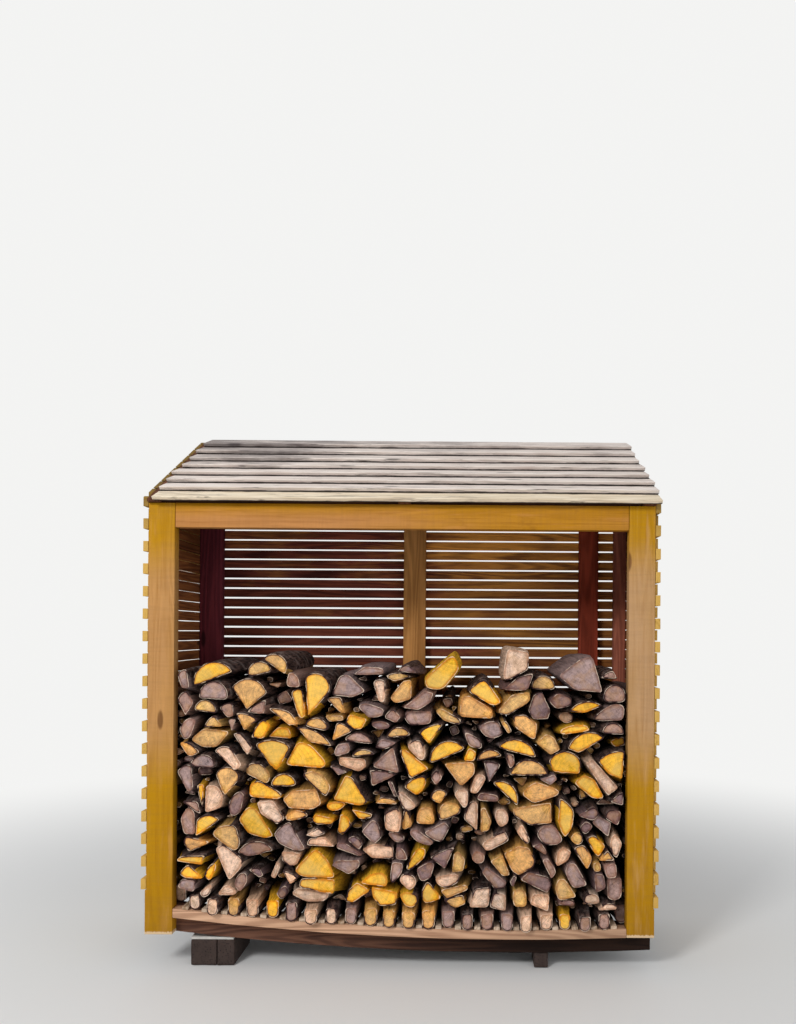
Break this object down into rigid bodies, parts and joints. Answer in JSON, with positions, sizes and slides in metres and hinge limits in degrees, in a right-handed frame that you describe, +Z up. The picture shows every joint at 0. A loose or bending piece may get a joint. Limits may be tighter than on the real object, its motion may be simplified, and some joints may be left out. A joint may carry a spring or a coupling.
{
  "type": "log store",
  "caption": "Open-fronted timber log store with slatted sides and back and a sloping board roof, on concrete blocks and filled with split firewood.",
  "frame": {"origin": "on the ground under the middle of the store", "axes": "+Z up, the open front towards -Y, +X to the right seen from the front"},
  "size_m": [1.83, 0.6706, 2.026],
  "materials": {
    "stained_timber": "sawn softwood with a yellow-brown stain",
    "frame_timber": "dark stained softwood",
    "floor_timber": "weathered sawn softwood",
    "slat_timber": "stained and weathered softwood slats",
    "roof_timber": "silver-grey weathered feather-edge boards",
    "pale_packer": "matte",
    "concrete": "matte",
    "split_logs": "split firewood with bark"
  },
  "bodies": {
    "root": {"back_bearer": "floor_timber", "back_corner_batten": "frame_timber", "back_left_block": "concrete", "back_post_left": "frame_timber", "back_post_middle": "frame_timber", "back_post_right": "frame_timber", "back_right_block": "concrete", "back_slats": "slat_timber", "eaves_strip_left": "frame_timber", "eaves_strip_right": "frame_timber", "firewood_layer_01": "split_logs", "firewood_layer_02": "split_logs", "firewood_layer_03": "split_logs", "firewood_layer_04": "split_logs", "firewood_layer_05": "split_logs", "firewood_layer_06": "split_logs", "firewood_layer_07": "split_logs", "firewood_layer_08": "split_logs", "firewood_layer_09": "split_logs", "firewood_layer_10": "split_logs", "firewood_layer_11": "split_logs", "firewood_layer_12": "split_logs", "floor_laths": "floor_timber", "front_bearer": "floor_timber", "front_floor_rail": "stained_timber", "front_left_block": "concrete", "front_left_brick": "concrete", "front_left_packer": "pale_packer", "front_post_left": "stained_timber", "front_post_right": "stained_timber", "front_right_block": "concrete", "front_top_rail": "stained_timber", "rafter_left": "frame_timber", "rafter_middle": "frame_timber", "rafter_right": "frame_timber", "roof_board_1": "roof_timber", "roof_board_2": "roof_timber", "roof_board_3": "roof_timber", "roof_board_4": "roof_timber", "roof_board_5": "roof_timber", "roof_board_6": "roof_timber", "roof_board_7": "roof_timber", "roof_board_8": "roof_timber", "side_slats_left": "slat_timber", "side_slats_right": "slat_timber"}
  },
  "joints": []
}
